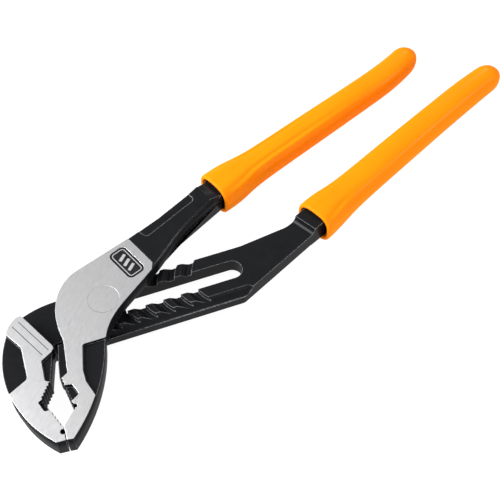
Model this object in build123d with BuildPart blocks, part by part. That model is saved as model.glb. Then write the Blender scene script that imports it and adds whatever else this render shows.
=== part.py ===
"""Tongue and groove pliers, about 310 mm long, with dipped vinyl grips.

Frame: the pivot axis is the Z axis, z = 0 is the back face of the pivot nut, +Z comes out of the
ground front face, and +X runs from the jaws towards the handle ends. All sizes are millimetres.

The groove lever carries a long slot between two rails. Arc-shaped grooves cross both rails at an
even pitch, each one centred on a pivot position. The tongue lever lies over the rails and drops
arc-shaped tongues into the grooves. The bolt slides along the slot and joins the two.
"""
from build123d import *
from math import cos, hypot, radians, sin, sqrt
import os

# ---- heights above the back face of the nut -------------------------------------------------
NUT_HEIGHT = 3.6
WASHER_THICKNESS = 0.8
SEAT_GAP = 0.05
RAIL_THICKNESS = 7.9
JOINT_GAP = 0.1
NECK_THICKNESS = 7.5
JAW_THICKNESS = 11.3
PANEL_DEPTH = 1.6
FORGED_STEP = 0.3
TANG_THICKNESS = 11.4
TANG_RAISE = 5.4
CORE_THICKNESS = 8.4

WASHER_BACK = NUT_HEIGHT + SEAT_GAP
RAIL_BACK = WASHER_BACK + WASHER_THICKNESS + SEAT_GAP
RAIL_FRONT = RAIL_BACK + RAIL_THICKNESS
NECK_BACK = RAIL_FRONT + JOINT_GAP
FRONT = NECK_BACK + NECK_THICKNESS
JAW_BACK = FRONT - JAW_THICKNESS
TANG_CENTRE = RAIL_BACK + TANG_RAISE
TANG_BACK = TANG_CENTRE - TANG_THICKNESS / 2
TANG_FRONT = TANG_CENTRE + TANG_THICKNESS / 2
ABOVE = 5.0
OVERLAP = 0.5

# ---- the rails, in rail coordinates: along the slot, and across it --------------------------
RAIL_ANGLE = -29.2
SLOT_LENGTH = 61.8
TOP_RAIL_EDGE = 11.4
LOW_RAIL_EDGE = 15.0
BEND_ALONG = 63.0
BEND_RADIUS = 4.0
TOP_BEND_ALONG = 70.0

# ---- bolt, washer and nut -------------------------------------------------------------------
BOLT_RADIUS = 4.75
BOLT_HEAD_RADIUS = 7.2
SLOT_CLEARANCE = 0.15
BORE_CLEARANCE = 0.05
NUT_ACROSS_FLATS = 17.0
NUT_CORNER_BREAK = 0.7
WASHER_RADIUS = 9.2
END_BREAK = 0.3

# ---- grooves and tongues --------------------------------------------------------------------
GROOVE_COUNT = 8
GROOVE_PITCH = 8.55
GROOVE_RADIUS = 17.3
GROOVE_FLOOR_WIDTH = 2.2
GROOVE_WIDTH = 5.2
GROOVE_DEPTH = 2.2
TONGUE_CLEARANCE = 0.25
TOP_TONGUE_ARC = (-37.0, -17.0)
LOW_TONGUE_ARC = (17.0, 43.0)

# ---- cove along the lower rail --------------------------------------------------------------
COVE_RADIUS = 3.6
COVE_CENTRE_ACROSS = 14.3
COVE_CENTRE_RAISE = 0.6
COVE_START = -27.0
COVE_END = 65.0

# ---- jaws -----------------------------------------------------------------------------------
SHOULDER_GAP = 0.5
TOOTH_DEPTH = 0.75
TOOTH_LEAN = 0.62
FINE_TOOTH_DEPTH = 0.6
FINE_TOOTH_LEAN = 0.15
POCKET_DEPTH = 2.3
POCKET_CORNER = 0.5
BITE_RADIUS = 0.8
WIRE_HOLE_RADIUS = 1.15
SEAM_GAP = 0.3

# ---- handles and grips ----------------------------------------------------------------------
TANG_BREAK = 0.8
TANG_RAMP = 2.2
TANG_PAST_WAIST = 5.0
SLOPE_LENGTH = 7.0
CORE_WIDTH = 8.4
CORE_TIP = 4.0
GRIP_FIT = 0.05
MOUTH_WALL = 2.1
MOUTH_FUNNEL = 8.0
TONGUE_GRIP_LENGTH = 149.9
GROOVE_GRIP_LENGTH = 148.5
GRIP_CORNER_SHARE = 0.455
BADGE_WIDTH = 9.2
BADGE_LENGTH = 17.4
BADGE_CORNER = 2.6
BADGE_DEPTH = 0.35
SHALLOW_PANEL_DEPTH = 0.35


def rail(along, across):
    """A point given along and across the slot, in the part's own x and y."""
    a = radians(RAIL_ANGLE)
    return (along * cos(a) - across * sin(a), along * sin(a) + across * cos(a))


def rail_plane(height):
    """A plane at a height whose x axis runs along the slot, with its origin on the pivot."""
    a = radians(RAIL_ANGLE)
    return Plane(origin=(0, 0, height), x_dir=(cos(a), sin(a), 0), z_dir=(0, 0, 1))


def section_plane(x, y, heading, height=0):
    """A plane across a handle: its x axis points to the handle's left and its y axis up."""
    a = radians(heading)
    return Plane(origin=(x, y, height), x_dir=(-sin(a), cos(a), 0), z_dir=(cos(a), sin(a), 0))


def side_plane(x, y, heading):
    """A plane along a handle: its x axis runs along the handle and its y axis up."""
    a = radians(heading)
    return Plane(origin=(x, y, 0), x_dir=(cos(a), sin(a), 0), z_dir=(sin(a), -cos(a), 0))


def teeth(start, end, count, depth, lean):
    """Corners of a row of teeth from start to end, cut to the right of the way they run.

    The lean is how far along a tooth its root lies, as a share of the pitch."""
    dx = (end[0] - start[0]) / count
    dy = (end[1] - start[1]) / count
    pitch = hypot(dx, dy)
    right = (dy / pitch * depth, -dx / pitch * depth)
    corners = []
    for i in range(count):
        foot = (start[0] + dx * i, start[1] + dy * i)
        root = (foot[0] + dx * lean + right[0], foot[1] + dy * lean + right[1])
        corners += [foot, root]
    return corners + [end]


def arc_section(top, floor, shrink):
    """Corners of the section of a groove or a tongue, radius against height, rising above its top."""
    inner = GROOVE_RADIUS + shrink
    floor_end = GROOVE_RADIUS + GROOVE_FLOOR_WIDTH - shrink
    outer = GROOVE_RADIUS + GROOVE_WIDTH - 2 * shrink
    return [(inner, top + OVERLAP), (inner, floor), (floor_end, floor), (outer, top), (outer, top + OVERLAP)]


# =============================================================================================
# The run of each grip, which the tangs and cores inside them follow
# =============================================================================================
# distance from the mouth, width and thickness of the sections before the end's bend
MOUTH_SECTIONS = [(0.0, 20.6, 18.2), (10.0, 20.0, 17.6), (22.5, 18.2, 16.2), (38.0, 17.4, 15.6),
                  (70.0, 16.7, 15.6), (100.0, 16.0, 15.4)]
# distance from the end, share of the end's turn, width and thickness of the sections in the bend
END_SECTIONS = [(28.3, 0.1, 15.8, 15.2), (12.2, 0.5, 15.2, 14.6), (4.1, 0.85, 12.4, 12.0),
                (0.0, 1.0, 6.6, 6.4)]
WAIST = 2
BULB = 7
TONGUE_GRIP_MOUTH = (83.4, 8.0)
GROOVE_GRIP_MOUTH = (102.1, -41.2)
# headings at the mouth, where the end's bend starts, and at the end, in degrees
TONGUE_GRIP_HEADINGS = (-8.0, -8.0, 12.0)
GROOVE_GRIP_HEADINGS = (-3.2, -4.5, -10.5)


def grip_sections(mouth, headings, length):
    """The x, y, heading, width and thickness of each section, walking along a grip from its mouth."""
    bend_start = length - END_SECTIONS[0][0]
    places = [(along, 0, width, thickness) for along, width, thickness in MOUTH_SECTIONS]
    places += [(length - back, turn, width, thickness) for back, turn, width, thickness in END_SECTIONS]
    sections = []
    x, y = mouth
    walked = 0
    last_heading = headings[0]
    for along, turn, width, thickness in places:
        drift = (headings[1] - headings[0]) * min(along / bend_start, 1)
        heading = headings[0] + drift + turn * (headings[2] - headings[1])
        a = radians((heading + last_heading) / 2)
        x += (along - walked) * cos(a)
        y += (along - walked) * sin(a)
        sections.append((x, y, heading, width, thickness))
        walked = along
        last_heading = heading
    return sections


def side_points(section, past, width):
    """The points to the left and the right of a grip's run, some way past one of its sections."""
    a = radians(section[2])
    x = section[0] + past * cos(a)
    y = section[1] + past * sin(a)
    half = width / 2
    return (x - half * sin(a), y + half * cos(a)), (x + half * sin(a), y - half * cos(a))


def core(sections, grow):
    """Outline of the thinner core inside a grip, from its flare to its rounded end."""
    lefts = []
    rights = []
    for section in sections[WAIST - 1:BULB + 1]:
        left, right = side_points(section, 0, CORE_WIDTH + 2 * grow)
        lefts.append(left)
        rights.append(right)
    tip = side_points(sections[BULB], CORE_TIP + grow, 0)[0]
    with BuildSketch() as outline:
        with BuildLine():
            Polyline(lefts)
            ThreePointArc(lefts[-1], tip, rights[-1])
            Polyline(rights[::-1] + [lefts[0]])
        make_face()
    return outline.sketch


TONGUE_GRIP = grip_sections(TONGUE_GRIP_MOUTH, TONGUE_GRIP_HEADINGS, TONGUE_GRIP_LENGTH)
GROOVE_GRIP = grip_sections(GROOVE_GRIP_MOUTH, GROOVE_GRIP_HEADINGS, GROOVE_GRIP_LENGTH)

os.makedirs("parts", exist_ok=True)

# =============================================================================================
# Groove lever: disc, two rails with the slot between them, outer jaw and lower handle
# =============================================================================================
DISC_LOW = rail(-27.8, -LOW_RAIL_EDGE)
DISC_BACK = (-41.5, 19.5)
DISC_TOP = (-27.9, 25.1)
RAIL_START = rail(-20.9, TOP_RAIL_EDGE)
TOP_BEND = rail(TOP_BEND_ALONG, TOP_RAIL_EDGE)
LOW_BEND = rail(BEND_ALONG, -LOW_RAIL_EDGE)
TAIL_TOP = (86.9, -32.5)
TANG_X = 94.0
TANG_TOP_Y = -34.2
TANG_LOW_Y = -46.6
GROOVE_TANG_MOUTH_TOP = (106.0, -35.0)
GROOVE_TANG_MOUTH_LOW = (106.0, -47.7)
GROOVE_TANG_END_WIDTH = 10.8
GROOVE_TANG_CENTRE = (102.1, -41.1)
GROOVE_TANG_WIDTH = 12.4
TAIL_ROUND = (90.2, -33.75)
DISC_LOW_ROUND = (-39.5, 7.5)
DISC_BACK_ROUND = (-34.6, 24.3)
DISC_TOP_ROUND = (-20.2, 23.4)
TIP_OUTER = (-62.1, -35.5)
JAW_LOW_ROUND = (-63.5, -25.0)
JAW_HEEL = (-62.4, -13.0)
JAW_HIGH_ROUND = (-55.4, 5.5)
BAND_ROUND = (-36.6, 22.1)
BAND_EDGE = [(-31.8, 22.6), (-30.6, 21.9), (-30.4, 20.6), (-31.6, -0.2), (-32.2, -1.6), (-33.6, -2.1),
             (-43.4, -11.4)]
GROOVE_JAW_MOUTH = (-44.4, -12.8)
GROOVE_JAW_CORNER = (-52.2, -16.2)
GROOVE_TEETH = 5
FINE_TEETH = 8
SEAM_TIP = (-58.75, -37.75)
SEAM_APEX = (-55.2, -32.6)
WIRE_HOLE_CENTRE = (-56.9, -34.0)
GROOVE_POCKET = [(-50.0, -16.7), (-54.6, -16.2), (-55.6, -21.2), (-53.0, -23.0), (-49.0, -21.0)]
BACK_PANEL = [(-41.3, 40.0), (-41.4, 9.4), (-49.9, -4.3), (-75.0, -3.2), (-75.0, 40.0)]
BACK_PANEL_CORNER = 2.4
THROAT_PANEL = [(-20.0, -2.4), (-40.1, -2.4), (-45.6, -10.6), (-44.2, -12.9), (-20.0, -12.9)]
THROAT_PANEL_CORNER = 0.9
RAMP_MIDDLE = (0.72, 0.36)


def groove_tang(grow):
    """Outline of the groove lever's tang, which its grip's pocket follows."""
    end_top, end_low = side_points(GROOVE_GRIP[WAIST], TANG_PAST_WAIST, GROOVE_TANG_END_WIDTH)
    with BuildSketch() as outline:
        with BuildLine():
            Polyline((TANG_X, TANG_TOP_Y), GROOVE_TANG_MOUTH_TOP, end_top, end_low, GROOVE_TANG_MOUTH_LOW,
                     (TANG_X, TANG_LOW_Y), close=True)
        make_face()
        offset(amount=grow, kind=Kind.INTERSECTION)
    return outline.sketch


with BuildPart() as groove_lever:
    # disc, rails and tail, one flat plate behind the neck of the other lever
    with BuildSketch(Plane.XY.offset(RAIL_BACK)):
        with BuildLine():
            Line(RAIL_START, TOP_BEND)
            Line(TOP_BEND, TAIL_TOP)
            ThreePointArc(TAIL_TOP, TAIL_ROUND, (TANG_X, TANG_TOP_Y))
            Line((TANG_X, TANG_TOP_Y), (TANG_X, TANG_LOW_Y))
            Line((TANG_X, TANG_LOW_Y), LOW_BEND)
            Line(LOW_BEND, DISC_LOW)
            ThreePointArc(DISC_LOW, DISC_LOW_ROUND, DISC_BACK)
            ThreePointArc(DISC_BACK, DISC_BACK_ROUND, DISC_TOP)
            ThreePointArc(DISC_TOP, DISC_TOP_ROUND, RAIL_START)
        make_face()
    extrude(amount=RAIL_THICKNESS)
    upright_edges = groove_lever.edges().filter_by(Axis.Z)
    fillet(upright_edges.sort_by_distance((LOW_BEND[0], LOW_BEND[1], RAIL_FRONT))[0], BEND_RADIUS)
    # slot for the bolt
    with BuildSketch(rail_plane(RAIL_BACK)):
        with Locations((SLOT_LENGTH / 2, 0)):
            SlotCenterToCenter(SLOT_LENGTH, 2 * (BOLT_RADIUS + SLOT_CLEARANCE))
    extrude(amount=RAIL_THICKNESS, mode=Mode.SUBTRACT)
    # outer jaw with the band beside the disc
    with BuildSketch(Plane.XY.offset(JAW_BACK)):
        with BuildLine():
            ThreePointArc(TIP_OUTER, JAW_LOW_ROUND, JAW_HEEL)
            ThreePointArc(JAW_HEEL, JAW_HIGH_ROUND, DISC_BACK)
            ThreePointArc(DISC_BACK, BAND_ROUND, BAND_EDGE[0])
            Polyline(BAND_EDGE + [GROOVE_JAW_MOUTH])
            Polyline(teeth(GROOVE_JAW_MOUTH, GROOVE_JAW_CORNER, GROOVE_TEETH, TOOTH_DEPTH, TOOTH_LEAN))
            Polyline(teeth(GROOVE_JAW_CORNER, SEAM_APEX, FINE_TEETH, FINE_TOOTH_DEPTH, FINE_TOOTH_LEAN))
            Polyline(SEAM_APEX, SEAM_TIP, TIP_OUTER)
        make_face()
    extrude(amount=JAW_THICKNESS)
    # pocket sunk behind the teeth
    with BuildSketch(Plane.XY.offset(FRONT - POCKET_DEPTH)):
        with BuildLine():
            FilletPolyline(GROOVE_POCKET, radius=POCKET_CORNER, close=True)
        make_face()
    extrude(amount=POCKET_DEPTH + ABOVE, mode=Mode.SUBTRACT)
    # sunk panels on both sides of the jaw's web
    with BuildSketch(Plane.XY.offset(FRONT - PANEL_DEPTH)):
        with BuildLine():
            FilletPolyline(BACK_PANEL, radius=BACK_PANEL_CORNER, close=True)
        make_face()
        with BuildLine():
            FilletPolyline(THROAT_PANEL, radius=THROAT_PANEL_CORNER, close=True)
        make_face()
    extrude(amount=PANEL_DEPTH + ABOVE, mode=Mode.SUBTRACT)
    # tang that the grip is dipped over, with a ramp up from the tail, and the core inside the grip
    with BuildSketch(Plane.XY.offset(TANG_BACK)):
        add(groove_tang(0))
    extrude(amount=TANG_THICKNESS)
    with BuildSketch(Plane.XY.offset(TANG_CENTRE - CORE_THICKNESS / 2)):
        add(core(GROOVE_GRIP, 0))
    extrude(amount=CORE_THICKNESS)
    ramp_height = RAIL_FRONT + (TANG_FRONT - RAIL_FRONT) * RAMP_MIDDLE[1]
    with BuildSketch(side_plane(TANG_X, (TANG_TOP_Y + TANG_LOW_Y) / 2, 0)):
        with BuildLine():
            Polyline((-ABOVE, TANG_FRONT + ABOVE), (-ABOVE, RAIL_FRONT), (0, RAIL_FRONT))
            ThreePointArc((0, RAIL_FRONT), (TANG_RAMP * RAMP_MIDDLE[0], ramp_height), (TANG_RAMP, TANG_FRONT))
            Polyline((TANG_RAMP, TANG_FRONT), (TANG_RAMP, TANG_FRONT + ABOVE), (-ABOVE, TANG_FRONT + ABOVE))
        make_face()
    extrude(amount=TANG_THICKNESS, both=True, mode=Mode.SUBTRACT)
    # arc grooves across both rails, one for each place of the pivot
    for step in range(GROOVE_COUNT):
        centre = rail(step * GROOVE_PITCH, 0)
        with BuildSketch(side_plane(centre[0], centre[1], RAIL_ANGLE + 90)):
            with BuildLine():
                Polyline(arc_section(RAIL_FRONT, RAIL_FRONT - GROOVE_DEPTH, 0), close=True)
            make_face()
        revolve(axis=Axis((centre[0], centre[1], 0), (0, 0, 1)), revolution_arc=180, mode=Mode.SUBTRACT)
    # cove along the outer edge of the lower rail
    cove_start = rail(COVE_START, -COVE_CENTRE_ACROSS)
    cove_height = RAIL_FRONT + COVE_CENTRE_RAISE
    with BuildSketch(section_plane(cove_start[0], cove_start[1], RAIL_ANGLE, cove_height)):
        Circle(COVE_RADIUS)
    extrude(amount=COVE_END - COVE_START, mode=Mode.SUBTRACT)
    cove_stop = rail(COVE_END, -COVE_CENTRE_ACROSS)
    with Locations((cove_stop[0], cove_stop[1], cove_height)):
        Sphere(COVE_RADIUS, mode=Mode.SUBTRACT)
    # round notch for wire in the seam between the jaw tips
    with BuildSketch(Plane.XY.offset(JAW_BACK)):
        with Locations(WIRE_HOLE_CENTRE):
            Circle(WIRE_HOLE_RADIUS)
    extrude(amount=JAW_THICKNESS, mode=Mode.SUBTRACT)
groove_lever.part.label = "groove_lever"
export_step(groove_lever.part, "parts/groove_lever.step")

# =============================================================================================
# Tongue lever: neck over the rails, inner jaw and upper handle
# =============================================================================================
SHOULDER = -(LOW_RAIL_EDGE + SHOULDER_GAP)
SHOULDER_LEFT = rail(-25.3, SHOULDER)
SHOULDER_RIGHT = rail(-11.0, SHOULDER)
SHOULDER_CORNER = rail(-4.3, SHOULDER - 1.6)
NECK_LOW = (-13.1, -15.0)
NECK_LOW_LEFT = (-22.0, -15.0)
NECK_LEFT = (-28.2, -4.1)
NECK_CROWN = [(-25.7, 0.6), (-21.6, 8.1), (-13.6, 16.4), (-4.5, 20.4)]
NECK_CROWN_TANGENTS = [(0.6, 0.8), (1, -0.18)]
NECK_TOP = (3.0, 20.5)
NECK_UPPER = [(32.0, 15.4), (50.0, 13.2), (72.0, 12.1), (77.4, 12.2), (84.2, 13.4), (82.2, 1.2)]
NECK_LOWER = [(66.2, 0.6), (50.1, -0.6), (33.0, -4.1), (9.8, -7.4), (-5.6, -10.6)]
TANG_UPPER = [(14.0, 18.0), (50.0, 12.6), (72.0, 12.0), (77.4, 12.3), (84.4, 13.6)]
TANG_LOWER = [(83.0, 1.5), (80.0, 2.6), (50.0, 3.6), (34.5, 3.6), (15.8, 8.6)]
WALL_START = 36.0
WALL_LENGTH = 46.0
WALL_TOP = 8.0
WALL_FOOT = [(36.0, 2.8), (82.0, 1.5)]
TONGUE_TANG_END_WIDTH = 10.2
TONGUE_TANG_CENTRE = (83.4, 7.6)
TONGUE_TANG_WIDTH = 12.0
TANG_EDGE_PLACE = (50.0, -0.6)
SLOPE_EDGE_PLACE = (77.0, 0.4)
SLOPE_EDGE_DROP = 1.2
TONGUE_JAW_MOUTH = (-40.4, -15.0)
TONGUE_JAW_CORNER = (-46.65, -30.2)
TONGUE_TEETH = 9
BITE_CENTRE = (-45.3, -29.2)
JAW_HOLLOW_ROUND = (-34.9, -31.4)
JAW_NOSE = [(-40.2, -13.7), (-35.9, -8.3), (-31.1, -3.0)]
TIP_INNER = (-56.2, -39.7)
TONGUE_POCKET = [(-44.5, -18.0), (-41.9, -18.4), (-39.2, -20.8), (-40.3, -26.2), (-43.2, -26.4),
                 (-47.5, -26.0)]
HOLLOW_PANEL = [(-4.0, -20.6), (-22.6, -9.9), (-31.4, -19.4), (-34.3, -24.3), (-36.6, -33.4), (-30.0, -48.0),
                (-4.0, -40.0)]
HOLLOW_PANEL_CORNER = 1.4
NOSE_PANEL = [(-25.4, 0.0), (-28.5, -4.4), (-36.6, -15.1), (-46.0, -15.1), (-46.0, 0.0)]
NOSE_PANEL_CORNER = 0.8
GROUND_TOP = (31.6, 15.3)
GROUND_LOW = (29.2, -2.8)
FORGED_FIELD = [(27.0, 40.0), (27.0, 17.0), GROUND_TOP, GROUND_LOW, (25.0, -6.4), (25.0, -40.0),
                (110.0, -40.0), (110.0, 40.0)]
FORGED_FIELD_CORNER = 1.6
SHALLOW_PANEL = [(36.8, 30.0), (38.2, 9.6), (69.6, 7.7), (72.4, 30.0)]
SHALLOW_PANEL_CORNER = 2.0
CREASE = (75.2, 7.0)
HANDLE_HEADING = -7.5
BADGE_CENTRE = (21.4, 6.2)


def tongue_tang(grow):
    """Outline of the tongue lever's tang, which its grip's pocket follows."""
    end_top, end_low = side_points(TONGUE_GRIP[WAIST], TANG_PAST_WAIST, TONGUE_TANG_END_WIDTH)
    with BuildSketch() as outline:
        with BuildLine():
            Polyline(TANG_UPPER + [end_top, end_low] + TANG_LOWER, close=True)
        make_face()
        offset(amount=grow, kind=Kind.INTERSECTION)
    return outline.sketch


def neck():
    """Outline of the tongue lever's neck and of the front of its tang."""
    with BuildSketch() as outline:
        with BuildLine():
            Spline([NECK_LEFT] + NECK_CROWN + [NECK_TOP], tangents=NECK_CROWN_TANGENTS)
            Polyline([NECK_TOP] + NECK_UPPER)
            Spline(NECK_UPPER[-1:] + NECK_LOWER + [NECK_LOW])
            Polyline(NECK_LOW, NECK_LOW_LEFT, NECK_LEFT)
        make_face()
    return outline.sketch


with BuildPart() as tongue_lever:
    # neck, in front of the rails, running on as the upper half of the tang
    with BuildSketch(Plane.XY.offset(NECK_BACK)):
        add(neck())
    extrude(amount=NECK_THICKNESS)
    # the ground face ends at a line, and the forged surface beyond it lies a little lower
    with BuildSketch(Plane.XY.offset(FRONT - FORGED_STEP)):
        with BuildLine():
            FilletPolyline(FORGED_FIELD, radius=FORGED_FIELD_CORNER, close=True)
        make_face()
    extrude(amount=FORGED_STEP + ABOVE, mode=Mode.SUBTRACT)
    # shallow panel along the upper edge of the tang
    with BuildSketch(Plane.XY.offset(FRONT - FORGED_STEP - SHALLOW_PANEL_DEPTH)):
        with BuildLine():
            FilletPolyline(SHALLOW_PANEL, radius=SHALLOW_PANEL_CORNER, close=True)
        make_face()
    extrude(amount=SHALLOW_PANEL_DEPTH + ABOVE, mode=Mode.SUBTRACT)
    # tang, full thickness, above the upper rail, and the core inside the grip
    with BuildSketch(Plane.XY.offset(TANG_BACK)):
        add(tongue_tang(0))
    extrude(amount=TANG_THICKNESS)
    # the tang's lower side, which leans inwards from the neck's curved edge to a straight foot
    with BuildSketch(Plane.XY.offset(NECK_BACK + OVERLAP)):
        add(neck())
        with Locations((WALL_START, WALL_TOP)):
            Rectangle(WALL_LENGTH, 2 * NECK_TOP[1], align=(Align.MIN, Align.MAX), mode=Mode.INTERSECT)
    with BuildSketch(Plane.XY.offset(TANG_BACK)):
        with BuildLine():
            Polyline(WALL_FOOT + [(WALL_FOOT[1][0], WALL_TOP), (WALL_FOOT[0][0], WALL_TOP)], close=True)
        make_face()
    loft(ruled=True)
    with BuildSketch(Plane.XY.offset(TANG_CENTRE - CORE_THICKNESS / 2)):
        add(core(TONGUE_GRIP, 0))
    extrude(amount=CORE_THICKNESS)
    # slope from the forged face down to the tang's own front, in the mouth of the grip
    with BuildSketch(side_plane(CREASE[0], CREASE[1], HANDLE_HEADING)):
        with BuildLine():
            Polyline((0, FRONT - FORGED_STEP), (SLOPE_LENGTH, TANG_FRONT), (4 * SLOPE_LENGTH, TANG_FRONT),
                     (4 * SLOPE_LENGTH, FRONT + ABOVE), (0, FRONT + ABOVE), close=True)
        make_face()
    extrude(amount=TANG_THICKNESS, both=True, mode=Mode.SUBTRACT)
    # broken edge along the tang's lower side
    slope_edge_height = FRONT - FORGED_STEP - SLOPE_EDGE_DROP
    tang_edge = tongue_lever.edges().sort_by_distance((*TANG_EDGE_PLACE, FRONT - FORGED_STEP))[0]
    slope_edge = tongue_lever.edges().sort_by_distance((*SLOPE_EDGE_PLACE, slope_edge_height))[0]
    chamfer([tang_edge, slope_edge], TANG_BREAK)
    # inner jaw, full thickness, below the lower rail
    with BuildSketch(Plane.XY.offset(JAW_BACK)):
        with BuildLine():
            Polyline(SHOULDER_LEFT, SHOULDER_RIGHT, SHOULDER_CORNER)
            ThreePointArc(SHOULDER_CORNER, JAW_HOLLOW_ROUND, TIP_INNER)
            Polyline(TIP_INNER, (SEAM_TIP[0] + SEAM_GAP, SEAM_TIP[1] - SEAM_GAP / 2),
                     (SEAM_APEX[0] + SEAM_GAP, SEAM_APEX[1]), TONGUE_JAW_CORNER)
            Polyline(teeth(TONGUE_JAW_CORNER, TONGUE_JAW_MOUTH, TONGUE_TEETH, TOOTH_DEPTH, TOOTH_LEAN))
            Polyline([TONGUE_JAW_MOUTH] + JAW_NOSE + [SHOULDER_LEFT])
        make_face()
    extrude(amount=JAW_THICKNESS)
    # round bite in the corner of the teeth
    with BuildSketch(Plane.XY.offset(JAW_BACK)):
        with Locations(BITE_CENTRE):
            Circle(BITE_RADIUS)
    extrude(amount=JAW_THICKNESS, mode=Mode.SUBTRACT)
    # pocket sunk behind the teeth
    with BuildSketch(Plane.XY.offset(FRONT - POCKET_DEPTH)):
        with BuildLine():
            FilletPolyline(TONGUE_POCKET, radius=POCKET_CORNER, close=True)
        make_face()
    extrude(amount=POCKET_DEPTH + ABOVE, mode=Mode.SUBTRACT)
    # sunk panels on both sides of the jaw's web
    with BuildSketch(Plane.XY.offset(FRONT - PANEL_DEPTH)):
        with BuildLine():
            FilletPolyline(HOLLOW_PANEL, radius=HOLLOW_PANEL_CORNER, close=True)
        make_face()
        with BuildLine():
            FilletPolyline(NOSE_PANEL, radius=NOSE_PANEL_CORNER, close=True)
        make_face()
    extrude(amount=PANEL_DEPTH + ABOVE, mode=Mode.SUBTRACT)
    # plain sunk badge field on the ground face
    with BuildSketch(Plane.XY.offset(FRONT - BADGE_DEPTH)):
        with Locations(Location((BADGE_CENTRE[0], BADGE_CENTRE[1], 0), (0, 0, HANDLE_HEADING))):
            RectangleRounded(BADGE_WIDTH, BADGE_LENGTH, BADGE_CORNER)
    extrude(amount=BADGE_DEPTH + ABOVE, mode=Mode.SUBTRACT)
    # countersunk bore for the bolt
    with BuildSketch(Plane.XZ):
        with BuildLine():
            Polyline((0, NECK_BACK - ABOVE), (BOLT_RADIUS + BORE_CLEARANCE, NECK_BACK - ABOVE),
                     (BOLT_RADIUS + BORE_CLEARANCE, FRONT - (BOLT_HEAD_RADIUS - BOLT_RADIUS)),
                     (BOLT_HEAD_RADIUS + BORE_CLEARANCE, FRONT), (0, FRONT), close=True)
        make_face()
    revolve(axis=Axis.Z, mode=Mode.SUBTRACT)
    # tongues under the neck, on the circle that the grooves follow
    tongue_floor = RAIL_FRONT - GROOVE_DEPTH + TONGUE_CLEARANCE
    for arc_start, arc_end in (TOP_TONGUE_ARC, LOW_TONGUE_ARC):
        with BuildSketch(side_plane(0, 0, 180 + RAIL_ANGLE + arc_start)):
            with BuildLine():
                Polyline(arc_section(NECK_BACK, tongue_floor, TONGUE_CLEARANCE), close=True)
            make_face()
        revolve(axis=Axis.Z, revolution_arc=arc_end - arc_start)
tongue_lever.part.label = "tongue_lever"
export_step(tongue_lever.part, "parts/tongue_lever.step")

# =============================================================================================
# Pivot: bolt, washer and nut
# =============================================================================================
with BuildPart() as pivot_bolt:
    with BuildSketch(Plane.XZ):
        with BuildLine():
            Polyline((0, 0), (BOLT_RADIUS - END_BREAK, 0), (BOLT_RADIUS, END_BREAK),
                     (BOLT_RADIUS, FRONT - (BOLT_HEAD_RADIUS - BOLT_RADIUS)), (BOLT_HEAD_RADIUS, FRONT),
                     (0, FRONT), close=True)
        make_face()
    revolve(axis=Axis.Z)
pivot_bolt.part.label = "pivot_bolt"
export_step(pivot_bolt.part, "parts/pivot_bolt.step")

with BuildPart() as pivot_washer:
    with BuildSketch(Plane.XY.offset(WASHER_BACK)):
        Circle(WASHER_RADIUS)
        Circle(BOLT_RADIUS + BORE_CLEARANCE, mode=Mode.SUBTRACT)
    extrude(amount=WASHER_THICKNESS)
pivot_washer.part.label = "pivot_washer"
export_step(pivot_washer.part, "parts/pivot_washer.step")

with BuildPart() as pivot_nut:
    with BuildSketch():
        RegularPolygon(NUT_ACROSS_FLATS / 2, 6, major_radius=False)
        Circle(BOLT_RADIUS + BORE_CLEARANCE, mode=Mode.SUBTRACT)
    extrude(amount=NUT_HEIGHT)
    # turned chamfer that takes the corners off the back face
    nut_corner = NUT_ACROSS_FLATS / sqrt(3)
    with BuildSketch(Plane.XZ):
        with BuildLine():
            Polyline((nut_corner - NUT_CORNER_BREAK * sqrt(3), 0), (nut_corner + ABOVE, 0),
                     (nut_corner + ABOVE, NUT_CORNER_BREAK + ABOVE / sqrt(3)), close=True)
        make_face()
    revolve(axis=Axis.Z, mode=Mode.SUBTRACT)
pivot_nut.part.label = "pivot_nut"
export_step(pivot_nut.part, "parts/pivot_nut.step")

# =============================================================================================
# Dipped vinyl grips, lofted over the two tangs
# =============================================================================================
def grip_form(sections):
    """The outer form of a grip, through its sections."""
    with BuildPart() as form:
        for x, y, heading, width, thickness in sections:
            with BuildSketch(section_plane(x, y, heading, TANG_CENTRE)):
                RectangleRounded(width, thickness, GRIP_CORNER_SHARE * thickness)
        loft()
    return form.part


def mouth_funnel(section, tang_centre, tang_width):
    """The funnel at a grip's mouth, from the wall's inner line down to the tang."""
    x, y, heading, width, thickness = section
    a = radians(heading)
    foot_x = tang_centre[0] + MOUTH_FUNNEL * cos(a)
    foot_y = tang_centre[1] + MOUTH_FUNNEL * sin(a)
    with BuildPart() as funnel:
        with BuildSketch(section_plane(x, y, heading, TANG_CENTRE)):
            RectangleRounded(width - 2 * MOUTH_WALL, thickness - 2 * MOUTH_WALL,
                             GRIP_CORNER_SHARE * thickness - MOUTH_WALL)
        with BuildSketch(section_plane(foot_x, foot_y, heading, TANG_CENTRE)):
            RectangleRounded(tang_width, TANG_THICKNESS + 2 * GRIP_FIT, END_BREAK)
        loft()
    return funnel.part


with BuildPart() as tongue_lever_grip:
    add(grip_form(TONGUE_GRIP))
    with BuildSketch(Plane.XY.offset(TANG_BACK - GRIP_FIT)):
        add(tongue_tang(GRIP_FIT))
    extrude(amount=TANG_THICKNESS + 2 * GRIP_FIT, mode=Mode.SUBTRACT)
    with BuildSketch(Plane.XY.offset(TANG_CENTRE - CORE_THICKNESS / 2 - GRIP_FIT)):
        add(core(TONGUE_GRIP, GRIP_FIT))
    extrude(amount=CORE_THICKNESS + 2 * GRIP_FIT, mode=Mode.SUBTRACT)
    add(mouth_funnel(TONGUE_GRIP[0], TONGUE_TANG_CENTRE, TONGUE_TANG_WIDTH), mode=Mode.SUBTRACT)
tongue_lever_grip.part.label = "tongue_lever_grip"
export_step(tongue_lever_grip.part, "parts/tongue_lever_grip.step")

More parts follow.
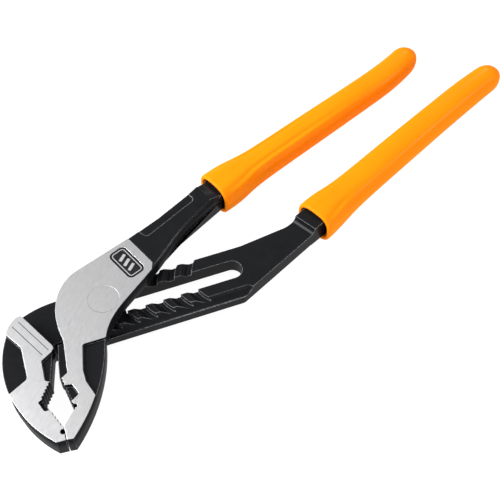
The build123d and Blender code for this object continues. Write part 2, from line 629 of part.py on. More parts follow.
with BuildPart() as groove_lever_grip:
    add(grip_form(GROOVE_GRIP))
    with BuildSketch(Plane.XY.offset(TANG_BACK - GRIP_FIT)):
        add(groove_tang(GRIP_FIT))
    extrude(amount=TANG_THICKNESS + 2 * GRIP_FIT, mode=Mode.SUBTRACT)
    with BuildSketch(Plane.XY.offset(TANG_CENTRE - CORE_THICKNESS / 2 - GRIP_FIT)):
        add(core(GROOVE_GRIP, GRIP_FIT))
    extrude(amount=CORE_THICKNESS + 2 * GRIP_FIT, mode=Mode.SUBTRACT)
    add(mouth_funnel(GROOVE_GRIP[0], GROOVE_TANG_CENTRE, GROOVE_TANG_WIDTH), mode=Mode.SUBTRACT)
groove_lever_grip.part.label = "groove_lever_grip"
export_step(groove_lever_grip.part, "parts/groove_lever_grip.step")
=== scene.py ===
from math import atan2, cos, exp, pi, radians, sin

import bmesh
import bpy
from mathutils import Matrix, Vector


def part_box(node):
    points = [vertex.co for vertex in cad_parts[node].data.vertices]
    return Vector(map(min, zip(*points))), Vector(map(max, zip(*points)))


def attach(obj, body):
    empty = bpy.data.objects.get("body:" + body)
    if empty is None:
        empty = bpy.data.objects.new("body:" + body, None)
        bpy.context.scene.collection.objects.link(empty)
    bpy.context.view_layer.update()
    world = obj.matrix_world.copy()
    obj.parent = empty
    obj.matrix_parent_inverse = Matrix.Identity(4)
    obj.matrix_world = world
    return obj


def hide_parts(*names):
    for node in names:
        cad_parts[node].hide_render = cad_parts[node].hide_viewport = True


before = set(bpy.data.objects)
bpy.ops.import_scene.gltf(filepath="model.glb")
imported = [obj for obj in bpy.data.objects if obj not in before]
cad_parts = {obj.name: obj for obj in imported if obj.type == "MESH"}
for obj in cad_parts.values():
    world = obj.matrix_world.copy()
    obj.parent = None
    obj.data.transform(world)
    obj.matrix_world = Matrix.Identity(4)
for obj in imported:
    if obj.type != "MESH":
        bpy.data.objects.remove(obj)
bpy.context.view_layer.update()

bl_info = {
    "name": "Tongue and Groove Pliers",
    "version": (1, 0, 0),
    "blender": (4, 5, 0),
    "location": "3D View > Sidebar > Pliers",
    "description": "Finishes the pliers' steel, dips the grips, fills the badge and sets the stage",
    "category": "Object",
}

MM = 0.001

# ---- heights that the solids give ----------------------------------------------------------
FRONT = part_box("tongue_lever")[1].z
TANG_CENTRE = (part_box("tongue_lever_grip")[0].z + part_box("tongue_lever_grip")[1].z) / 2

# ---- the two lines engraved along the band of the outer jaw ---------------------------------
BAND_CENTRE = (-35.55 * MM, 9.8 * MM, 0.0)
BAND_TURN = radians(2.9)
BAND_LINE_OFFSET = 1.75 * MM
BAND_LINE_HALF_LENGTH = 10.3 * MM
BAND_LINE_WIDTH = 0.3 * MM

# ---- the runs of the grips, in millimetres, as the solids have them -------------------------
TONGUE_GRIP_MOUTH = (83.4, 8.0)
GROOVE_GRIP_MOUTH = (102.1, -41.2)
TONGUE_GRIP_LENGTH = 149.9
GROOVE_GRIP_LENGTH = 148.5
# headings in degrees at the mouth, before the end's bend and at the end
TONGUE_GRIP_HEADINGS = (-8.0, -8.0, 12.0)
GROOVE_GRIP_HEADINGS = (-3.2, -4.5, -10.5)
# width of the pocket over the tang, and how far its middle lies aside of the grip's
TONGUE_POCKET = (12.1, -0.3)
GROOVE_POCKET = (12.5, 0.0)
# distance from the mouth, width and thickness of the sections before the end's bend
MOUTH_SECTIONS = [(0.0, 20.6, 18.2), (10.0, 20.0, 17.6), (22.5, 18.2, 16.2),
                  (38.0, 17.4, 15.6), (70.0, 16.7, 15.6), (100.0, 16.0, 15.4)]
# distance from the end, share of the end's turn, width and thickness of the sections in the bend
END_SECTIONS = [(28.3, 0.1, 15.7, 15.1), (12.2, 0.5, 14.9, 14.5), (4.1, 0.85, 14.4, 14.1),
                (0.0, 1.0, 14.3, 14.0)]
WAIST = 22.5
TANG_PAST_WAIST = 5.0
CORE_END_BACK = 9.0
CORE_WIDTH = 8.5
TANG_THICKNESS = 11.5
POCKET_SQUARENESS = 12.0
POCKET_STEP = 0.05
CORE_RING_SHARES = (1.0, 0.75, 0.5, 0.25, 0.0)
MOUTH_FUNNEL = 8.0
FUNNEL_RING_SHARES = (0.85, 0.6, 0.35, 0.15)
LIP_STEPS = 8
TIP_ROUND = 9.5
TIP_STEPS = 10
TIP_REACH = 0.985
SQUARE_MOUTH = 34.0
# where the crest that the tang's edge raises in the vinyl runs: distance from the mouth, its
# lean from the top in degrees, and its share of the full height
TONGUE_CREST = [(0.0, 52.0, 0.0), (6.0, 51.0, 0.6), (12.0, 49.0, 1.0), (25.0, 38.0, 1.0),
                (50.0, 35.5, 1.0), (80.0, 35.0, 0.4), (105.0, 35.0, 0.0)]
GROOVE_CREST = [(0.0, 50.0, 0.0), (6.0, 48.0, 0.7), (12.0, 43.0, 1.0), (20.0, 40.0, 0.4),
                (28.0, 38.0, 0.0)]
NO_CREST = (0.0, 1.0, 1.0)

# ---- the badge in the neck's ground face ----------------------------------------------------
BADGE_CENTRE = (21.4 * MM, 6.2 * MM, 0)
BADGE_TURN = radians(-7.5)
BADGE_WIDTH = 9.2 * MM
BADGE_LENGTH = 17.4 * MM
BADGE_CORNER = 2.6 * MM
BADGE_DEPTH = 0.35 * MM
BADGE_FIT = 0.04 * MM
ENAMEL_THICKNESS = 0.12 * MM
FRAME_INSET = 1.0 * MM
# the raised lines start just inside the enamel and end at one height
FRAME_FOOT = 0.11 * MM
BAR_FOOT = 0.13 * MM
LINE_TOP = 0.27 * MM
BAR_SPACING = 3.4 * MM
BAR_TURN = radians(24)
BAR_WIDTH = 4.4 * MM
BAR_LENGTH = 1.5 * MM
BAR_CORNER = 0.3 * MM
BAR_CORNER_SEGMENTS = 3
CORNER_SEGMENTS = 6

# ---- colours beside the ones in the settings ------------------------------------------------
SPECKLE_COLOUR = (0.030, 0.031, 0.035)
# lightened edges of the forging: partly wear, partly a painted edge highlight
EDGE_WEAR_AND_HIGHLIGHT_COLOUR = (0.28, 0.285, 0.30)
STREAK_COLOUR = (0.48, 0.48, 0.49)
CLOUD_COLOUR = (0.64, 0.64, 0.64)
ENGRAVED_COLOUR = (0.02, 0.02, 0.021)
HARDWARE_COLOUR = (0.02, 0.02, 0.022)
WORN_HARDWARE_COLOUR = (0.24, 0.24, 0.25)
PAPER_COLOURS = ((0.14, 0.14, 0.14), (0.16, 0.16, 0.16))

# ---- finish and stage -----------------------------------------------------------------------
# grinding lines: how dense they are along each axis of the turned face
FINE_LINES = (260, 9000, 1)
BROAD_STREAKS = (45, 900, 1)
RING_DENSITY = 5200
WELD_DISTANCE = 0.002 * MM
FLAT_ANGLE = radians(0.5)
ROUNDED_ANGLE = radians(32)
BEVEL_SEGMENTS = 2
FLOOR_HALF_SIZE = 2.0
# name, way from the aim, distance, width and height in metres, and the setting with its power
SOFTBOXES = (
    ("key_softbox", (-0.55, 0.55, 0.63), 1.1, 0.8, 0.8, "key_power"),
    ("rear_strip", (0.81, 0.30, 0.50), 1.6, 0.22, 0.16, "rim_power"),
    ("side_strip", (0.60, -0.64, 0.47), 2.0, 0.14, 0.3, "side_power"),
    ("low_fill", (0.1, -0.95, 0.08), 1.0, 0.9, 0.12, "fill_power"),
)


class LeverSettings(bpy.types.PropertyGroup):
    """Finish of the two forged levers and their ground faces."""
    forged_colour: bpy.props.FloatVectorProperty(
        name="Forged colour", description="Colour of the blackened forging", subtype="COLOR",
        size=3, default=(0.006, 0.0062, 0.0072), min=0, max=1)
    ground_colour: bpy.props.FloatVectorProperty(
        name="Ground colour", description="Colour of the ground steel faces", subtype="COLOR",
        size=3, default=(0.72, 0.72, 0.73), min=0, max=1)
    edge_round: bpy.props.FloatProperty(
        name="Edge round", description="Width of the small round on every forged edge",
        subtype="DISTANCE", default=0.2 * MM, min=0, max=1 * MM)
    grinding_angle: bpy.props.FloatProperty(
        name="Grinding angle",
        description="Way that the grinding lines run, from the handle's line",
        subtype="ANGLE", default=radians(-16))


class GripSettings(bpy.types.PropertyGroup):
    """Form and finish of the dipped vinyl grips."""
    vinyl_colour: bpy.props.FloatVectorProperty(
        name="Vinyl colour", description="Colour of the dipped vinyl", subtype="COLOR", size=3,
        default=(0.95, 0.243, 0.003), min=0, max=1)
    wall: bpy.props.FloatProperty(
        name="Wall", description="Thickness of the vinyl at the mouth", subtype="DISTANCE",
        default=2.1 * MM, min=0.5 * MM, max=4 * MM)
    squareness: bpy.props.FloatProperty(
        name="Squareness", description="How square a grip's section is: 2 is an ellipse",
        default=2.3, min=2, max=8)
    mouth_squareness: bpy.props.FloatProperty(
        name="Mouth squareness", description="How square the section is at the mouth",
        default=3.0, min=2, max=8)
    crest: bpy.props.FloatProperty(
        name="Crest", description="Height of the crest beside the mouth, over the dip before it",
        subtype="DISTANCE", default=0.4 * MM, min=0, max=1 * MM)
    crest_spread: bpy.props.FloatProperty(
        name="Crest spread",
        description="Half of the crest's width, as an angle about the grip's centre",
        subtype="ANGLE", default=radians(6))
    ring_points: bpy.props.IntProperty(
        name="Points round", description="Points round each ring of a grip",
        default=112, min=16, max=128)
    ring_gap: bpy.props.FloatProperty(
        name="Ring gap", description="Distance between the rings along a grip",
        subtype="DISTANCE", default=2.4 * MM, min=1 * MM, max=10 * MM)


class BadgeSettings(bpy.types.PropertyGroup):
    """The plain badge that is sunk in the neck's ground face."""
    field_colour: bpy.props.FloatVectorProperty(
        name="Field colour", description="Colour of the enamel field", subtype="COLOR", size=3,
        default=(0.010, 0.010, 0.011), min=0, max=1)
    line_width: bpy.props.FloatProperty(
        name="Line width", description="Width of the raised line inside the field's edge",
        subtype="DISTANCE", default=0.45 * MM, min=0.1 * MM, max=2 * MM)


class StageSettings(bpy.types.PropertyGroup):
    """Floor, lights and camera."""
    aim: bpy.props.FloatVectorProperty(
        name="Aim", description="Point that the camera looks at", subtype="XYZ", unit="LENGTH",
        size=3, default=(63.965 * MM, -32.907 * MM, 20.0 * MM))
    distance: bpy.props.FloatProperty(
        name="Distance", description="Camera's distance from its aim", subtype="DISTANCE",
        default=465 * MM)
    azimuth: bpy.props.FloatProperty(
        name="Azimuth", description="Camera's turn about the upright axis", subtype="ANGLE",
        default=radians(-49.49))
    elevation: bpy.props.FloatProperty(
        name="Elevation", description="Camera's height angle", subtype="ANGLE",
        default=radians(54.5))
    lens: bpy.props.FloatProperty(
        name="Lens", description="Camera's focal length", unit="CAMERA", default=71.28)
    key_power: bpy.props.FloatProperty(
        name="Key power", description="Power of the wide light above the jaws, in watts",
        default=25.0, min=0)
    rim_power: bpy.props.FloatProperty(
        name="Rim power", description="Power of the strip light behind the handles, in watts",
        default=3.0, min=0)
    side_power: bpy.props.FloatProperty(
        name="Side power",
        description="Power of the narrow light beyond the groove lever's end, in watts",
        default=5.0, min=0)
    fill_power: bpy.props.FloatProperty(
        name="Fill power",
        description="Power of the low light beside the groove lever's grip, in watts",
        default=3.0, min=0)
    sky: bpy.props.FloatProperty(
        name="Sky", description="Strength of the even light from all around", default=0.55, min=0)


# =============================================================================================
# Meshes
# =============================================================================================
def new_piece(name, bm, material, body, smooth=True):
    """Turns a bmesh into a piece in the part's own frame, with its material and body."""
    mesh = bpy.data.meshes.new(name)
    bm.to_mesh(mesh)
    bm.free()
    for polygon in mesh.polygons:
        polygon.use_smooth = smooth
    piece = bpy.data.objects.new(name, mesh)
    bpy.context.scene.collection.objects.link(piece)
    mesh.materials.append(material)
    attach(piece, body)
    return piece


def blended(stations, along, column):
    """A column of the stations' values at a distance along, on a smooth curve through them."""
    last = len(stations) - 1
    i = 0
    while i < last - 1 and along > stations[i + 1][0]:
        i += 1
    x0, x1 = stations[i][0], stations[i + 1][0]
    y0, y1 = stations[i][column], stations[i + 1][column]

    def slope(j):
        low, high = stations[max(j - 1, 0)], stations[min(j + 1, last)]
        return (high[column] - low[column]) / (high[0] - low[0])

    t = (along - x0) / (x1 - x0)
    step = x1 - x0
    return (y0 * (1 + 2 * t) * (1 - t) ** 2 + slope(i) * step * t * (1 - t) ** 2
            + y1 * t * t * (3 - 2 * t) + slope(i + 1) * step * t * t * (t - 1))


class GripRun:
    """A grip's centre line and the size of its sections, by distance from the mouth in mm."""

    def __init__(self, mouth, headings, length):
        self.length = length
        bend_start = length - END_SECTIONS[0][0]
        places = [(along, 0.0, width, thickness) for along, width, thickness in MOUTH_SECTIONS]
        places += [(length - back, turn, width, thickness)
                   for back, turn, width, thickness in END_SECTIONS]
        self.stations = []
        x, y = mouth
        walked = 0.0
        last_heading = headings[0]
        for along, turn, width, thickness in places:
            drift = (headings[1] - headings[0]) * min(along / bend_start, 1)
            heading = headings[0] + drift + turn * (headings[2] - headings[1])
            a = radians((heading + last_heading) / 2)
            x += (along - walked) * cos(a)
            y += (along - walked) * sin(a)
            self.stations.append((along, x, y, heading, width, thickness))
            walked = along
            last_heading = heading

    def place(self, along):
        """Matrix of the section plane at a distance: X to the grip's left, Y up, in metres."""
        x, y, heading = (blended(self.stations, along, column) for column in (1, 2, 3))
        a = radians(heading)
        left = Vector((-sin(a), cos(a), 0))
        up = Vector((0, 0, 1))
        forward = Vector((cos(a), sin(a), 0))
        turn = Matrix((left, up, forward)).transposed().to_4x4()
        return Matrix.Translation((x * MM, y * MM, TANG_CENTRE)) @ turn

    def size(self, along):
        """Width and thickness of the grip at a distance, with its end rounded off."""
        width = blended(self.stations, along, 4)
        thickness = blended(self.stations, along, 5)
        past = (along - (self.length - TIP_ROUND)) / TIP_ROUND
        share = (1 - past ** 2) ** 0.5 if past > 0 else 1.0
        return width * share, thickness * share


def ring_shape(width, thickness, power, points, aside, crest):
    """Points of one ring in its own plane: a rounded rectangle whose squareness is its power.

    A crest is its height, its lean from the upright and its spread, and is mirrored into each
    quarter."""
    height, crest_lean, spread = crest
    shape = []
    for k in range(points):
        a = 2 * pi * (k + 0.5) / points
        across = abs(2 * cos(a) / width) ** power
        upright = abs(2 * sin(a) / thickness) ** power
        reach = (across + upright) ** (-1 / power)
        past = (atan2(abs(cos(a)), abs(sin(a))) - crest_lean) / spread
        reach += height * (exp(-(past - 1) ** 2) - exp(-(past + 1) ** 2))
        shape.append(Vector(((reach * cos(a) + aside) * MM, reach * sin(a) * MM, 0)))
    return shape


def extrude_rings(rings, points):
    """A tube closed at both ends, through rings that are each a plane's matrix and its points."""
    bm = bmesh.new()
    loop = bmesh.ops.create_circle(bm, cap_ends=False, segments=points, radius=MM)["verts"]
    edges = list(bm.edges)
    for count, (place, shape) in enumerate(rings):
        if count:
            made = bmesh.ops.extrude_edge_only(bm, edges=edges)["geom"]
            fresh = {v for v in made if isinstance(v, bmesh.types.BMVert)}
            edges = [e for e in made
                     if isinstance(e, bmesh.types.BMEdge) and all(v in fresh for v in e.verts)]
            loop = [next(e.other_vert(v) for e in v.link_edges if e.other_vert(v) in fresh)
                    for v in loop]
        for v, point in zip(loop, shape):
            v.co = place @ point
        if count == 0:
            bmesh.ops.contextual_create(bm, geom=list(loop))
    tip = sum((v.co for v in loop), Vector()) / len(loop)
    bmesh.ops.pointmerge(bm, verts=loop, merge_co=tip)
    bmesh.ops.recalc_face_normals(bm, faces=bm.faces)
    return bm


def grip_rings(run, settings, tang_width, tang_aside, crest_run):
    """Rings of a grip: from its pocket's blind end to the mouth, round the lip and to its tip."""
    wall = settings.wall / MM
    points = settings.ring_points
    rings = []

    def add(along, width, thickness, power, aside=0.0, crest=NO_CREST):
        shape = ring_shape(width, thickness, power, points, aside, crest)
        rings.append((run.place(along), shape))

    def squareness(along):
        share = min(along / SQUARE_MOUTH, 1.0)
        share = share * share * (3 - 2 * share)
        return settings.mouth_squareness + (settings.squareness - settings.mouth_squareness) * share

    def add_outside(along):
        width, thickness = run.size(along)
        crest = NO_CREST
        if along < crest_run[-1][0]:
            height = settings.crest / MM * max(blended(crest_run, along, 2), 0)
            crest = (height, radians(blended(crest_run, along, 1)), settings.crest_spread)
        add(along, width, thickness, squareness(along), crest=crest)

    # pocket over the core and the tang
    tang_end = WAIST + TANG_PAST_WAIST
    core_end = run.length - CORE_END_BACK
    for share in CORE_RING_SHARES:
        along = tang_end + (core_end - tang_end) * share
        add(along, CORE_WIDTH, CORE_WIDTH, POCKET_SQUARENESS)
    add(tang_end - POCKET_STEP, tang_width, TANG_THICKNESS, POCKET_SQUARENESS)
    add(MOUTH_FUNNEL, tang_width, TANG_THICKNESS, POCKET_SQUARENESS, tang_aside)
    # funnel that opens to the mouth
    for share in FUNNEL_RING_SHARES:
        open_share = 1 - share ** 1.5
        width, thickness = run.size(MOUTH_FUNNEL * share)
        inner_width = tang_width + (width - 2 * wall - tang_width) * open_share
        inner_thickness = TANG_THICKNESS + (thickness - 2 * wall - TANG_THICKNESS) * open_share
        softening = settings.mouth_squareness - POCKET_SQUARENESS
        power = POCKET_SQUARENESS + softening * open_share ** 0.5
        aside = tang_aside * (1 - open_share)
        add(MOUTH_FUNNEL * share, inner_width, inner_thickness, power, aside)
    # rolled lip
    width, thickness = run.size(0)
    for step in range(LIP_STEPS + 1):
        a = pi * step / LIP_STEPS
        inset = wall / 2 * (1 + cos(a))
        along = wall / 2 * (1 - sin(a))
        add(along, width - 2 * inset, thickness - 2 * inset, settings.mouth_squareness)
    # outside
    gap = settings.ring_gap / MM
    body_length = run.length - TIP_ROUND
    count = round((body_length - wall) / gap)
    for step in range(1, count + 1):
        add_outside(wall / 2 + (body_length - wall / 2) * step / count)
    for step in range(1, TIP_STEPS + 1):
        add_outside(body_length + TIP_ROUND * sin(step / TIP_STEPS * pi / 2 * TIP_REACH))
    return rings


def rounded_slab(width, length, corner, low, high, place, segments=CORNER_SEGMENTS):
    """A flat plate with rounded corners between two heights of a placed plane."""
    bm = bmesh.new()
    bmesh.ops.create_cube(bm, size=1)
    bmesh.ops.scale(bm, vec=(width, length, high - low), verts=bm.verts)
    bmesh.ops.translate(bm, vec=(0, 0, (high + low) / 2), verts=bm.verts)
    upright = [e for e in bm.edges
               if abs(e.verts[0].co.z - e.verts[1].co.z) > (high - low) / 2]
    bmesh.ops.bevel(bm, geom=upright, offset=corner, offset_type="OFFSET", segments=segments,
                    profile=0.5, affect="EDGES", material=-1, clamp_overlap=True)
    bmesh.ops.transform(bm, matrix=place, verts=bm.verts)
    return bm


def rounded_frame(width, length, corner, line, low, high, place):
    """A flat rounded frame of a line's width between two heights of a placed plane."""
    bm = bmesh.new()
    bmesh.ops.create_grid(bm, x_segments=1, y_segments=1, size=0.5)
    bmesh.ops.scale(bm, vec=(width, length, 1), verts=bm.verts)
    bmesh.ops.bevel(bm, geom=bm.verts, offset=corner, offset_type="OFFSET",
                    segments=CORNER_SEGMENTS, profile=0.5, affect="VERTICES", material=-1)
    bmesh.ops.inset_region(bm, faces=bm.faces, thickness=line, use_boundary=True,
                           use_even_offset=True)
    inner = max(bm.faces, key=lambda face: len(face.verts))
    bmesh.ops.delete(bm, geom=[inner], context="FACES_ONLY")
    bmesh.ops.translate(bm, vec=(0, 0, low), verts=bm.verts)
    raised = bmesh.ops.extrude_face_region(bm, geom=bm.faces, use_keep_orig=True)["geom"]
    tops = [v for v in raised if isinstance(v, bmesh.types.BMVert)]
    bmesh.ops.translate(bm, vec=(0, 0, high - low), verts=tops)
    bmesh.ops.recalc_face_normals(bm, faces=bm.faces)
    bmesh.ops.transform(bm, matrix=place, verts=bm.verts)
    return bm


def joined(parts):
    """One bmesh out of several."""
    whole = bmesh.new()
    for part in parts:
        mesh = bpy.data.meshes.new("part")
        part.to_mesh(mesh)
        part.free()
        whole.from_mesh(mesh)
        bpy.data.meshes.remove(mesh)
    return whole


# =============================================================================================
# Materials
# =============================================================================================
class Shader:
    """A material's nodes, added and joined by short calls."""

    def __init__(self, name):
        self.material = bpy.data.materials.new(name)
        self.material.use_nodes = True
        self.tree = self.material.node_tree
        self.surface = self.tree.nodes["Principled BSDF"]
        self.place = self.node("ShaderNodeTexCoord").outputs["Object"]

    def node(self, kind, inputs=None, **settings):
        """Adds a node, with its settings, and its inputs as values or sockets to join."""
        made = self.tree.nodes.new(kind)
        for name, value in settings.items():
            setattr(made, name, value)
        for name, value in (inputs or {}).items():
            self.feed(made.inputs[name], value)
        return made

    def feed(self, socket, value):
        """Gives an input a constant, or joins another node's output to it."""
        if isinstance(value, bpy.types.NodeSocket):
            self.tree.links.new(value, socket)
        elif socket.type == "RGBA":
            socket.default_value = (*value, 1)
        else:
            socket.default_value = value

    def set(self, **inputs):
        """Sets the shader's own inputs, named with underscores for spaces."""
        for name, value in inputs.items():
            self.feed(self.surface.inputs[name.replace("_", " ")], value)

    def math(self, operation, a, b=0.0):
        """Result of a sum on one or two values."""
        return self.node("ShaderNodeMath", {0: a, 1: b}, operation=operation).outputs[0]

    def vector_math(self, operation, a, b, output):
        """Result of a sum on two vectors."""
        made = self.node("ShaderNodeVectorMath", {0: a, 1: b}, operation=operation)
        return made.outputs[output]

    def turned(self, vector, angle):
        """A vector turned about Z."""
        return self.node("ShaderNodeVectorRotate", {"Vector": vector, "Angle": angle},
                         rotation_type="Z_AXIS").outputs[0]

    def remap(self, value, low, high, to_low=0.0, to_high=1.0):
        """A value's range carried over to another, and held at its ends."""
        inputs = {"Value": value, "From Min": low, "From Max": high,
                  "To Min": to_low, "To Max": to_high}
        return self.node("ShaderNodeMapRange", inputs).outputs["Result"]

    def mix(self, share, a, b):
        """A colour between two, whose sockets on the node are 6 and 7."""
        return self.node("ShaderNodeMix", {0: share, 6: a, 7: b}, data_type="RGBA").outputs[2]

    def mix_value(self, share, a, b):
        """A value between two, whose sockets on the node are 2 and 3."""
        return self.node("ShaderNodeMix", {0: share, 2: a, 3: b}).outputs[0]

    def mapped(self, scale, turn=0.0):
        """Object coordinates turned about Z and then scaled along each axis."""
        return self.vector_math("MULTIPLY", self.turned(self.place, turn), scale, 0)

    def noise(self, scale, detail, roughness, vector=None):
        """Cloudy noise between 0 and 1, over the object's coordinates or a vector of its own."""
        inputs = {"Vector": vector or self.place, "Scale": scale, "Detail": detail,
                  "Roughness": roughness}
        return self.node("ShaderNodeTexNoise", inputs).outputs["Fac"]

    def bump(self, height, distance, strength, normal=None):
        """A normal roughened by a height, on top of another normal where one is given."""
        inputs = {"Height": height, "Distance": distance, "Strength": strength}
        if normal:
            inputs["Normal"] = normal
        return self.node("ShaderNodeBump", inputs).outputs["Normal"]

    def axis(self, vector, name):
        """One of a vector's parts: X, Y or Z."""
        return self.node("ShaderNodeSeparateXYZ", {"Vector": vector}).outputs[name]


def sharp_edge_mask(shader, radius, low, high):
    """A mask that is 1 along sharp edges and 0 on faces, from how far a rounded normal leans."""
    rounded = shader.node("ShaderNodeBevel", {"Radius": radius}, samples=6).outputs["Normal"]
    true = shader.node("ShaderNodeNewGeometry").outputs["Normal"]
    lean = shader.vector_math("DOT_PRODUCT", rounded, true, "Value")
    return shader.remap(lean, high, low)


def times(colour, factor):
    """A colour made lighter or darker."""
    return tuple(factor * c for c in colour)


def engraved_pair(shader, centre, turn, half_apart, half_length, line):
    """A mask of two parallel engraved lines about a centre."""
    local = shader.turned(shader.vector_math("SUBTRACT", shader.place, centre, 0), turn)
    across = shader.math("ABSOLUTE", shader.axis(local, "X"))
    along = shader.math("ABSOLUTE", shader.axis(local, "Y"))
    beside = shader.math("ABSOLUTE", shader.math("SUBTRACT", across, half_apart))
    on_line = shader.remap(beside, line * 0.7, line * 0.4)
    return shader.math("MULTIPLY", on_line, shader.remap(along, half_length + line, half_length))


def lever_material(name, settings):
    """Blackened forging whose frontmost faces are ground bright."""
    shader = Shader(name)
    height = shader.axis(shader.place, "Z")
    facing = shader.axis(shader.node("ShaderNodeNewGeometry").outputs["Normal"], "Z")
    ground = shader.math("MULTIPLY", shader.remap(height, FRONT - 0.06 * MM, FRONT - 0.03 * MM),
                         shader.remap(facing, 0.6, 0.8))
    # forging: fine scale, soft mottling, and edges lightened: partly wear through the oxide, partly
    # a painted highlight along the edges and the tang's crease
    grain = shader.noise(2600, 3, 0.6)
    mottle = shader.noise(160, 4, 0.55)
    speckle = shader.remap(shader.noise(5200, 1, 0.5), 0.62, 0.75)
    edge_mask = sharp_edge_mask(shader, 0.5 * MM, 0.955, 0.99)
    patches = shader.remap(shader.noise(900, 3, 0.7), 0.35, 0.6, 0.25, 1.0)
    patchy_wear_and_highlight = shader.math("MULTIPLY", edge_mask, patches)
    black = shader.mix(shader.remap(mottle, 0.3, 0.7), settings.forged_colour,
                       times(settings.forged_colour, 1.35))
    black = shader.mix(shader.math("MULTIPLY", speckle, 0.35), black, SPECKLE_COLOUR)
    # painted highlight, partly real wear: sharp edges and the tang's crease are lightened in colour
    # and made glossier
    black = shader.mix(shader.math("MULTIPLY", patchy_wear_and_highlight, 0.8), black, EDGE_WEAR_AND_HIGHLIGHT_COLOUR)
    # the sides shine less towards the front: a painted shade, the coat's gloss lowered on the upper
    # side walls to stand in for the dark band of shade under the front edge
    painted_side_shade = shader.math("MULTIPLY", shader.remap(height, 13 * MM, 17.5 * MM),
                       shader.remap(facing, 0.5, 0.2))
    gloss = shader.mix_value(painted_side_shade, 0.24, 0.05)
    gloss = shader.mix_value(patchy_wear_and_highlight, gloss, 0.3)
    black_rough = shader.remap(grain, 0.3, 0.7, 0.40, 0.56)
    # ground faces: long fine lines across the handle's way, with broad soft streaks
    lines = shader.noise(1.0, 3, 0.6, shader.mapped(FINE_LINES, settings.grinding_angle))
    streaks = shader.noise(1.0, 2, 0.5, shader.mapped(BROAD_STREAKS, settings.grinding_angle))
    cloud = shader.noise(70, 2, 0.5)
    bright = shader.mix(shader.remap(lines, 0.3, 0.7), times(settings.ground_colour, 0.8),
                        settings.ground_colour)
    bright = shader.mix(shader.remap(streaks, 0.35, 0.75, 0.0, 0.25), bright, STREAK_COLOUR)
    bright = shader.mix(shader.remap(cloud, 0.4, 0.8, 0.0, 0.2), bright, CLOUD_COLOUR)
    ground_rough = shader.remap(lines, 0.25, 0.75, 0.30, 0.46)
    # two plain lines engraved along the band of the outer jaw
    pair = engraved_pair(shader, BAND_CENTRE, BAND_TURN, BAND_LINE_OFFSET, BAND_LINE_HALF_LENGTH,
                         BAND_LINE_WIDTH)
    engraved = shader.math("MULTIPLY", pair, ground)
    # forging and ground faces together
    base = shader.mix(ground, black, bright)
    base = shader.mix(engraved, base, ENGRAVED_COLOUR)
    relief = shader.mix_value(ground, grain, lines)
    normal = shader.bump(relief, 0.012 * MM, 0.6)
    metallic = shader.math("SUBTRACT", ground, engraved)
    shader.set(Base_Color=base, Metallic=metallic, Normal=normal, Specular_IOR_Level=0.0)
    shader.set(Coat_Weight=shader.mix_value(ground, gloss, 0.05), Coat_Roughness=0.22,
               Coat_Normal=normal)
    shader.set(Roughness=shader.mix_value(ground, black_rough, ground_rough))
    return shader.material


def hardware_material(name, colour, rough_low, rough_high, metallic):
    """Turned and blackened pivot hardware, with fine turning rings about its axis."""
    shader = Shader(name)
    x = shader.axis(shader.place, "X")
    y = shader.axis(shader.place, "Y")
    squares = shader.math("ADD", shader.math("MULTIPLY", x, x), shader.math("MULTIPLY", y, y))
    reach = shader.math("SQRT", squares)
    rings = shader.node("ShaderNodeTexNoise",
                        {"W": shader.math("MULTIPLY", reach, RING_DENSITY), "Scale": 1.0},
                        noise_dimensions="1D").outputs["Fac"]
    mottle = shader.noise(420, 3, 0.6)
    edge_mask = sharp_edge_mask(shader, 0.3 * MM, 0.8, 0.97)
    base = shader.mix(shader.remap(mottle, 0.3, 0.7), colour, times(colour, 1.5))
    base = shader.mix(shader.math("MULTIPLY", edge_mask, 0.7), base, WORN_HARDWARE_COLOUR)
    shader.set(Base_Color=base, Metallic=metallic, Normal=shader.bump(rings, 0.01 * MM, 0.5))
    shader.set(Roughness=shader.remap(mottle, 0.3, 0.7, rough_low, rough_high))
    return shader.material


def vinyl_material(name, settings):
    """Dipped vinyl: a soft gloss over faint flow marks and a fine orange-peel skin."""
    shader = Shader(name)
    flow = shader.noise(1.0, 3, 0.5, shader.mapped((40, 160, 160)))
    peel = shader.noise(700, 3, 0.55)
    pores = shader.noise(4200, 1, 0.5)
    colour = settings.vinyl_colour
    deeper = (colour[0] * 0.97, colour[1] * 0.93, colour[2])
    base = shader.mix(shader.remap(flow, 0.3, 0.7), deeper, colour)
    skin = shader.bump(peel, 0.05 * MM, 0.35)
    skin = shader.bump(pores, 0.01 * MM, 0.25, skin)
    shader.set(Base_Color=base, Normal=skin, Specular_IOR_Level=0.0)
    shader.set(Coat_Weight=0.08, Coat_Roughness=0.22, Coat_Normal=skin)
    shader.set(Roughness=shader.remap(peel, 0.3, 0.7, 0.30, 0.40))
    return shader.material


def enamel_material(name, settings):
    """Baked black enamel in the badge's field."""
    shader = Shader(name)
    grain = shader.noise(3000, 2, 0.5)
    base = shader.mix(shader.remap(shader.noise(500, 3, 0.6), 0.35, 0.7), settings.field_colour,
                      times(settings.field_colour, 1.8))
    shader.set(Base_Color=base, Roughness=0.5, Specular_IOR_Level=0.0)
    shader.set(Coat_Weight=0.2, Coat_Roughness=0.25)
    shader.set(Normal=shader.bump(grain, 0.006 * MM, 0.5))
    return shader.material


def bright_line_material(name, settings):
    """Ground steel of the badge's raised lines."""
    shader = Shader(name)
    lines = shader.noise(1.0, 3, 0.6, shader.mapped(FINE_LINES, settings.grinding_angle))
    base = shader.mix(shader.remap(lines, 0.3, 0.7), times(settings.ground_colour, 0.84),
                      settings.ground_colour)
    shader.set(Base_Color=base, Metallic=1.0)
    shader.set(Roughness=shader.remap(lines, 0.25, 0.75, 0.34, 0.52))
    shader.set(Normal=shader.bump(lines, 0.012 * MM, 0.6))
    return shader.material


